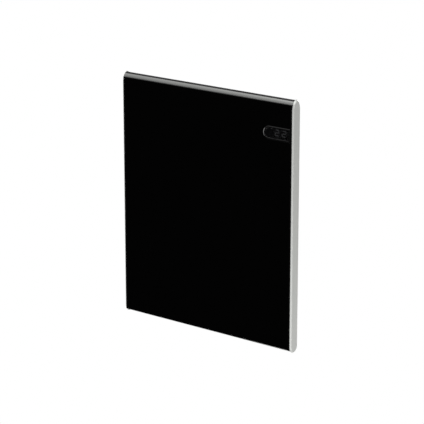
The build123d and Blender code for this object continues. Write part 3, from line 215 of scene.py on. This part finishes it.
SPANGLE_SIZE = 6 * MM
SHEET_BAND = 1.0 * MM        # width of one drawn sheet of the transformer's core
TRACK_SIZE = 16 * MM
TRACK_GAP = 0.06             # share of a track's square that is the line round it
LENS_FLOW = 25 * MM
BAR_MOTTLE = 4 * MM
BAR_GLOW = (0.26, 0.50)      # strength of the light, from the dimmest spot to the brightest


def spangled_zinc():
    """Sheet steel, hot-dip galvanised: grey metal broken into frost-like spangles."""
    material, tree, shader = begin("galvanised_sheet_steel", "#9ea1a3", Metallic=1.0)
    place = add(tree, "ShaderNodeTexCoord")
    spangle = add(tree, "ShaderNodeTexVoronoi", {"Scale": 1 / SPANGLE_SIZE},
                  {"Vector": place.outputs["Object"]})
    follow(tree, shader, spangle.outputs["Distance"], ("#8d9092", "#b0b3b5"), (0.34, 0.50))
    return material


def laminated_core():
    """Transformer iron, stacked 0.5 mm sheets under brown varnish, drawn wider so that they show.
    A wave texture draws one band each pi / 10 units."""
    material, tree, shader = begin("varnished_core_laminations", "#3a2f26")
    place = add(tree, "ShaderNodeTexCoord")
    bands = add(tree, "ShaderNodeTexWave",
                {"Scale": np.pi / 10 / SHEET_BAND, "bands_direction": "Y"},
                {"Vector": place.outputs["Object"]})
    follow(tree, shader, bands.outputs["Fac"], ("#2a221c", "#4c3f34"), (0.30, 0.45), 0.05)
    return material


def masked_board():
    """Glass-epoxy board under green solder mask: gloss, with the raised squares of its tracks."""
    material, tree, shader = begin("green_masked_glass_epoxy", "#14502a")
    place = add(tree, "ShaderNodeTexCoord")
    tracks = add(tree, "ShaderNodeTexBrick", {"Scale": 1 / TRACK_SIZE, "Mortar Size": TRACK_GAP},
                 {"Vector": place.outputs["Object"]})
    follow(tree, shader, tracks.outputs["Fac"], ("#14502a", "#1f6e3b"), (0.22, 0.34), 0.05)
    return material


def smoked_lens():
    """Acrylic, moulded and dyed smoke black: polished; only lit figures come through it."""
    material, tree, shader = begin("smoked_acrylic", "#4c4c4e", Roughness=0.03,
                                   Transmission_Weight=1.0, IOR=1.49)
    place = add(tree, "ShaderNodeTexCoord")
    flow = add(tree, "ShaderNodeTexNoise", {"Scale": 1 / LENS_FLOW},
               {"Vector": place.outputs["Object"]})
    follow(tree, shader, flow.outputs["Fac"], gloss=(0.02, 0.05))
    return material


def lit_segment():
    """Light bar of an LED figure behind its diffuser: an even, dim, neutral white."""
    material, tree, shader = begin("led_light_bar", "#cacaca", Roughness=0.5)
    shader.inputs["Emission Color"].default_value = linear("#ececeb")
    place = add(tree, "ShaderNodeTexCoord")
    glow = add(tree, "ShaderNodeTexNoise", {"Scale": 1 / BAR_MOTTLE},
               {"Vector": place.outputs["Object"]})
    level = add(tree, "ShaderNodeMapRange", {"To Min": BAR_GLOW[0], "To Max": BAR_GLOW[1]},
                {"Value": glow.outputs["Fac"]})
    tree.links.new(level.outputs["Result"], shader.inputs["Emission Strength"])
    return material


FINISH_OF_SLOT = {
    "black_glass": BLACK_GLASS, "black_frame": BLACK_STRIP, "silver_rail": SILVER_RAIL,
    "silver_cap": SILVER_PAINT, "housing_steel": CHARCOAL_COAT, "bracket_steel": GRAPHITE_COAT,
    "silicone": SILICONE, "screw_steel": ZINC, "spring_steel": ZINC, "heater_film": CARBON_FILM,
    "contact_brass": BRASS, "mica": MICA, "foil": FOIL, "mineral_board": FIBRE, "can_metal": CAN,
    "sheet_steel": spangled_zinc(), "bezel_black": GLOSS_ABS, "smoked_lens": smoked_lens(),
    "button_black": SATIN_KEY, "switch_body": NYLON, "display_block": POTTING,
    "board_green": masked_board(), "component_blue": BLUE_CASE, "core_steel": laminated_core(),
    "terminal_grey": GREY_BLOCK, "wire_insulation": SLEEVE, "tray_plastic": GRAINED_ABS,
    "rocker_black": ROCKER, "gland_nylon": NYLON, "lock_plastic": FILLED_NYLON,
}


def dress_nodes():
    """Give each node of the construction the finish of its slot."""
    for entry in frame["record"]["subparts"]:
        mesh = frame["nodes"][entry["node"]].data
        mesh.materials.clear()
        mesh.materials.append(FINISH_OF_SLOT[entry["material_slot"]])


# ---------------------------------------------------------------- meshes
def piece_of(name, points, faces, finish, body=None):
    """A mesh from points in metres and faces that look outwards; it rides on its body, if any."""
    mesh = bpy.data.meshes.new(name)
    mesh.from_pydata(np.asarray(points).reshape(-1, 3).tolist(), [], faces)
    mesh.materials.append(finish)
    mesh.update()
    piece = bpy.data.objects.new(name, mesh)
    bpy.context.scene.collection.objects.link(piece)
    if body:
        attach(piece, body)
    return piece


def turned_faces(rows, columns):
    """Faces of a grid of rows rings of columns points: its sides, and a cap on each open end."""
    ring = np.arange(columns)
    after = (ring + 1) % columns
    start = np.arange(rows - 1)[:, None] * columns
    sides = np.stack([start + ring, start + ring + columns, start + after + columns,
                      start + after], axis=-1)
    caps = [ring.tolist(), (ring[::-1] + (rows - 1) * columns).tolist()]
    return sides.reshape(-1, 4).tolist() + caps


def copies(rows, columns, count):
    """The faces of count such grids, whose points follow one another."""
    return [[index + rows * columns * number for index in face]
            for number in range(count) for face in turned_faces(rows, columns)]


# ---------------------------------------------------------------- lit figures behind the window
DIGIT_LEFT = 198.6 * MM      # left edge of the first figure, from the middle of the panel
DIGIT_RISE = 2.3 * MM        # middle of the figures above the middle of the control
DIGIT_PITCH = 19.5 * MM
DIGIT_WIDTH = 11.6 * MM
DIGIT_HEIGHT = 14.8 * MM
DIGIT_SLANT = 0.07           # lean to the right for each unit of height
BAR_WIDTH = 1.8 * MM
BAR_GAP = 0.5 * MM           # each end of a bar stops this far short of its corner
BAR_DEPTH = 0.5 * MM


def lit_figures():
    """Two figures 2 in light bars: a bar is a six-sided prism, its outline its middle line drawn in
    by the gap, half its width to each side, and ended in a point; a point at height h leans right
    by h times the slant."""
    half = BAR_WIDTH / 2
    left, right = half, DIGIT_WIDTH - half
    low, middle, high = half - DIGIT_HEIGHT / 2, 0.0, DIGIT_HEIGHT / 2 - half
    starts = np.array([(left, high), (right, middle), (left, middle), (left, low), (left, low)])
    ends = np.array([(right, high), (right, high), (right, middle), (left, middle), (right, low)])
    along = (ends - starts) / np.linalg.norm(ends - starts, axis=1, keepdims=True)
    across = np.stack([-along[:, 1], along[:, 0]], axis=1) * half
    first, last = starts + along * BAR_GAP, ends - along * BAR_GAP
    outline = np.stack([first, first + along * half - across, last - along * half - across,
                        last, last - along * half + across, first + along * half + across], axis=1)
    outline[..., 0] += outline[..., 1] * DIGIT_SLANT
    corners = outline.shape[1]
    figures = np.stack([outline, outline + [DIGIT_PITCH, 0.0]]).reshape(-1, corners, 2)
    points = np.empty((len(figures), 2, corners, 3))
    points[..., 0] = DIGIT_LEFT + figures[:, None, :, 0]
    points[..., 2] = CAPSULE_Z + DIGIT_RISE + figures[:, None, :, 1]
    points[:, 0, :, 1] = MODULE_FACE - BAR_DEPTH / 2
    points[:, 1, :, 1] = MODULE_FACE + BAR_DEPTH / 2
    faces = copies(2, corners, len(figures))
    piece_of("lit_figures", points, faces, lit_segment(), "panel")


# ---------------------------------------------------------------- screws, rivets and springs
SCREW_HEAD = 1.5 * MM
SCREW_HEAD_RADIUS = 2.5 * MM
SCREW_HEAD_FALL = 0.45       # share of the head's height that is lost at its edge
SCREW_RADIUS = 1.25 * MM
SCREW_COLUMNS = 48
SCREW_RINGS = (0.02, 0.08, 0.14, 0.2, 0.26, 0.33, 0.4, 0.48, 0.56, 0.62, 0.68, 0.76, 0.84, 0.92,
               0.97, 1.0)    # radii of the head's rings, as shares of its own
SHANK_ROWS = 60
RECESS_ARM = 1.55 * MM       # reach of the cross recess from the middle of the head
RECESS_WIDTH = 0.62 * MM
RECESS_DEPTH = 0.9 * MM
RECESS_SLOPE = 0.18 * MM     # width of the recess's sloping walls
THREAD_PITCH = 1.0 * MM
THREAD_DEPTH = 0.16 * MM
RIVET_HEAD = 1.0 * MM
RIVET_HEAD_RADIUS = 3.5 * MM
RIVET_EDGE = 0.15            # height of the head's edge, as a share of the head's
RIVET_RADIUS = 2.0 * MM
RIVET_PITCH = 12.0 * MM
RIVET_COLUMNS = 32
RIVET_RINGS = (0.05, 0.25, 0.45, 0.62, 0.76, 0.87, 0.95, 1.0)
SPRING_WIRE = 0.4 * MM       # radius of the spring's wire
SPRING_TURNS = 7
SPRING_SHUT = 0.8            # turns that lie flat at each end
SPRING_STEPS = 28            # rings in one turn
WIRE_COLUMNS = 10


def cap_screws():
    """Four pan-head screws with a cross recess and a rolled thread. Rings of points run from the
    middle of the head to the tip. The head's face lies at H (1 - F (r / R)^4), F its fall at the
    edge, less the recess, whose depth falls from full to none over the slope's width as a point
    leaves the nearer arm of the cross. The shank's radius swings by the thread's depth with the
    cosine of turn minus 2 pi y / pitch."""
    turn = np.linspace(0, 2 * np.pi, SCREW_COLUMNS, endpoint=False)
    shares = np.array(SCREW_RINGS)[:, None]
    radius = np.repeat(shares * SCREW_HEAD_RADIUS, SCREW_COLUMNS, axis=1)
    x, z = radius * np.cos(turn), radius * np.sin(turn)
    beside = np.minimum(np.abs(x), np.abs(z)) - RECESS_WIDTH / 2
    beyond = np.maximum(np.abs(x), np.abs(z)) - RECESS_ARM
    inside = 1 - np.clip(np.maximum(beside, beyond) / RECESS_SLOPE, 0, 1)
    face = SCREW_HEAD * (1 - SCREW_HEAD_FALL * (radius / SCREW_HEAD_RADIUS) ** 4)
    height = face - RECESS_DEPTH * inside
    length = SCREWS_HIGH.y - SCREWS_LOW.y - SCREW_HEAD
    depth = np.linspace(0, length, SHANK_ROWS)[:, None] + 0 * turn
    wave = THREAD_DEPTH / 2 * (1 + np.cos(turn - 2 * np.pi * depth / THREAD_PITCH))
    shank = SCREW_RADIUS - wave * np.clip(depth / THREAD_PITCH - 1, 0, 1)
    edge = np.full((1, SCREW_COLUMNS), SCREW_HEAD_RADIUS)
    radius = np.concatenate([radius, edge, shank])
    height = np.concatenate([height, 0 * edge, -depth])
    one = np.stack([radius * np.cos(turn), height + SCREWS_HIGH.y - SCREW_HEAD,
                    radius * np.sin(turn)], axis=-1)
    across = SCREWS_HIGH.x - SCREW_HEAD_RADIUS
    rise = SCREWS_HIGH.z - SCREW_HEAD_RADIUS
    places = np.array([(side * across, 0, level * rise) for side in (-1, 1) for level in (-1, 1)])
    faces = copies(len(radius), SCREW_COLUMNS, len(places))
    screws = piece_of("cross_recess_screws", places[:, None, None, :] + one, faces, ZINC, "panel")
    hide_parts("end_cap_screws")


def bar_rivets():
    """Eight rivets with domed heads towards the room: a head's face falls from its full height by
    the share (r / R)^2, down to its edge's height, then the side runs straight along y as the
    shank, to an end that the wall hides."""
    turn = np.linspace(0, 2 * np.pi, RIVET_COLUMNS, endpoint=False)
    shares = np.array(RIVET_RINGS)
    radius = np.concatenate([shares * RIVET_HEAD_RADIUS,
                             [RIVET_HEAD_RADIUS, RIVET_RADIUS, RIVET_RADIUS]])
    dome = RIVET_HEAD * (RIVET_EDGE + (1 - RIVET_EDGE) * (1 - shares ** 2))
    level = RIVETS_LOW.y + RIVET_HEAD + np.concatenate([-dome, [0.0, 0.0]])
    level = np.append(level, RIVETS_HIGH.y)[:, None] + 0 * turn
    one = np.stack([radius[:, None] * np.cos(turn), level, -radius[:, None] * np.sin(turn)],
                   axis=-1)
    outer = RIVETS_HIGH.x - RIVET_HEAD_RADIUS
    rise = RIVETS_HIGH.z - RIVET_HEAD_RADIUS
    places = np.array([(side * across, 0, level * rise) for side in (-1, 1) for level in (-1, 1)
                       for across in (outer, outer - RIVET_PITCH)])
    faces = copies(len(radius), RIVET_COLUMNS, len(places))
    rivets = piece_of("domed_rivets", places[:, None, None, :] + one, faces, ZINC, "panel")
    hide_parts("bracket_rivets")


def lock_spring(node, name):
    """Coil spring: a round wire whose middle line turns evenly round the plunger. Along y it stands
    still while it lies flat at each end and advances evenly between them."""
    low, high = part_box(node)
    coil = (high.x - low.x) / 2 - SPRING_WIRE
    rows = SPRING_STEPS * SPRING_TURNS + 1
    turns = np.linspace(0, SPRING_TURNS, rows)
    share = np.clip((turns - SPRING_SHUT) / (SPRING_TURNS - 2 * SPRING_SHUT), 0, 1)
    level = low.y + SPRING_WIRE + (high.y - low.y - 2 * SPRING_WIRE) * share
    angle = 2 * np.pi * turns[:, None]
    wire = np.linspace(0, 2 * np.pi, WIRE_COLUMNS, endpoint=False)
    radius = coil + SPRING_WIRE * np.cos(wire)
    points = np.empty((rows, WIRE_COLUMNS, 3))
    points[..., 0] = (low.x + high.x) / 2 + radius * np.cos(angle)
    points[..., 1] = level[:, None] + SPRING_WIRE * np.sin(wire)
    points[..., 2] = (low.z + high.z) / 2 + radius * np.sin(angle)
    spring = piece_of(name, points, turned_faces(rows, WIRE_COLUMNS), ZINC, "panel")
    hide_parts(node)
    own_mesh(spring)


# ---------------------------------------------------------------- studio
LOOK_AT = (0.0203, -0.053, 0.0015)
CAMERA_AZIMUTH = 37.875      # degrees, from straight ahead towards the right-hand side
CAMERA_ELEVATION = 16.287
CAMERA_DISTANCE = 4.531
SENSOR = 36.0
LENS = 164.785
CLIP_END = 50.0
FLOOR_DROP = 1.3             # floor below the lower edge of the panel
FLOOR_RADIUS = 1.0
FLOOR_POINTS = 96
FLOOR_GLOW = 0.6             # light of its own that the camera sees, so that it stays white
CENTRE = (0.0, -0.035, 0.0)
HORIZON = (0.00, 0.85)       # height of a direction where the surround turns from dark to white
HORIZON_DARK = 0.02          # what polished faces see below it
SOFT_HEIGHTS = (-0.4, 0.4)   # heights of a direction between which the soft light grows
SOFT_LIGHT = (0.05, 0.62)    # strength of the surround as a light, from below and from above
SOFTBOXES = {                # azimuth, elevation, distance, size and power
    "overhead_softbox": (-20, 68, 3.0, 2.2, 8),
    "front_softbox": (8, 46, 3.2, 1.1, 34),
    "upper_right_softbox": (73, 42, 3.0, 0.8, 30),
    "right_softbox": (80, -32, 1.7, 1.1, 18),
    "left_softbox": (-84, -7, 2.6, 1.6, 24),
    "rear_softbox": (190, 14, 3.0, 2.0, 58),
}


def towards(azimuth, elevation):
    """Unit vector out from the heater at an azimuth and elevation in degrees."""
    az, el = radians(azimuth), radians(elevation)
    return Vector((sin(az) * cos(el), -cos(az) * cos(el), sin(el)))


def stand(name, data, place, target):
    """Stand a camera or lamp at a place, turned to look at the target."""
    obj = bpy.data.objects.new(name, data)
    bpy.context.scene.collection.objects.link(obj)
    obj.location = place
    obj.rotation_euler = (Vector(target) - place).to_track_quat("-Z", "Y").to_euler()
    return obj


def photo_camera():
    """Long lens from the right and a little above, as the heater was seen."""
    data = bpy.data.cameras.new("camera")
    data.sensor_width = SENSOR
    data.lens = LENS
    data.clip_end = CLIP_END
    place = Vector(LOOK_AT) + CAMERA_DISTANCE * towards(CAMERA_AZIMUTH, CAMERA_ELEVATION)
    bpy.context.scene.camera = stand("camera", data, place, LOOK_AT)


def softbox(name, azimuth, elevation, distance, size, power):
    """Square lamp, large enough for soft shadows, facing the heater."""
    data = bpy.data.lights.new(name, "AREA")
    data.shape = "SQUARE"
    data.size = size
    data.energy = power
    stand(name, data, Vector(CENTRE) + distance * towards(azimuth, elevation), CENTRE)


def pale_floor():
    """Round floor well below the heater: one face, its points at the radius round the middle."""
    turn = np.linspace(0, 2 * np.pi, FLOOR_POINTS, endpoint=False)
    level = np.full(FLOOR_POINTS, CAP_FOOT - FLOOR_DROP)
    points = np.stack([FLOOR_RADIUS * np.cos(turn), FLOOR_RADIUS * np.sin(turn), level], axis=1)
    material, tree, shader = begin("pale_studio_floor", "#f0f0ee", Roughness=0.9)
    rays = add(tree, "ShaderNodeLightPath")
    lift = add(tree, "ShaderNodeMath", {"operation": "MULTIPLY", 1: FLOOR_GLOW},
               {0: rays.outputs["Is Camera Ray"]})
    shader.inputs["Emission Color"].default_value = linear("#ffffff")
    tree.links.new(lift.outputs[0], shader.inputs["Emission Strength"])
    piece_of("floor", points, [list(range(FLOOR_POINTS))], material)


def surround():
    """White to the eye and through glass, a soft light that is weaker from below, and to polished
    faces dark below the horizon and white high above it, as a studio with a dark floor is."""
    world = bpy.data.worlds.new("studio")
    world.use_nodes = True
    bpy.context.scene.world = world
    tree = world.node_tree
    tree.nodes.clear()
    rays = add(tree, "ShaderNodeLightPath").outputs
    place = add(tree, "ShaderNodeTexCoord")
    height = add(tree, "ShaderNodeSeparateXYZ", {}, {"Vector": place.outputs["Generated"]})
    sky = add(tree, "ShaderNodeMapRange",
              {"From Min": HORIZON[0], "From Max": HORIZON[1], "To Min": HORIZON_DARK,
               "interpolation_type": "SMOOTHSTEP"}, {"Value": height.outputs["Z"]})
    seen = add(tree, "ShaderNodeMath", {"operation": "MAXIMUM"},
               {0: rays["Is Camera Ray"], 1: rays["Is Transmission Ray"]})
    shine = add(tree, "ShaderNodeMath", {"operation": "MULTIPLY"},
                {0: rays["Is Glossy Ray"], 1: sky.outputs["Result"]})
    dome = add(tree, "ShaderNodeMapRange",
               {"From Min": SOFT_HEIGHTS[0], "From Max": SOFT_HEIGHTS[1],
                "To Min": SOFT_LIGHT[0], "To Max": SOFT_LIGHT[1]}, {"Value": height.outputs["Z"]})
    soft = add(tree, "ShaderNodeMath", {"operation": "MULTIPLY_ADD"},
               {0: rays["Is Diffuse Ray"], 1: dome.outputs["Result"], 2: shine.outputs[0]})
    level = add(tree, "ShaderNodeMath", {"operation": "MAXIMUM"},
                {0: seen.outputs[0], 1: soft.outputs[0]})
    back = add(tree, "ShaderNodeBackground", {"Color": linear("#ffffff")},
               {"Strength": level.outputs[0]})
    add(tree, "ShaderNodeOutputWorld", {}, {"Surface": back.outputs["Background"]})


def studio():
    """Camera, surround, floor and softboxes."""
    photo_camera()
    surround()
    pale_floor()
    for name, settings in SOFTBOXES.items():
        softbox(name, *settings)
    bpy.context.scene.view_settings.view_transform = "Standard"


dress_nodes()
lit_figures()
cap_screws()
bar_rivets()
lock_spring("lock_spring_left", "coil_spring_left")
lock_spring("lock_spring_right", "coil_spring_right")
studio()
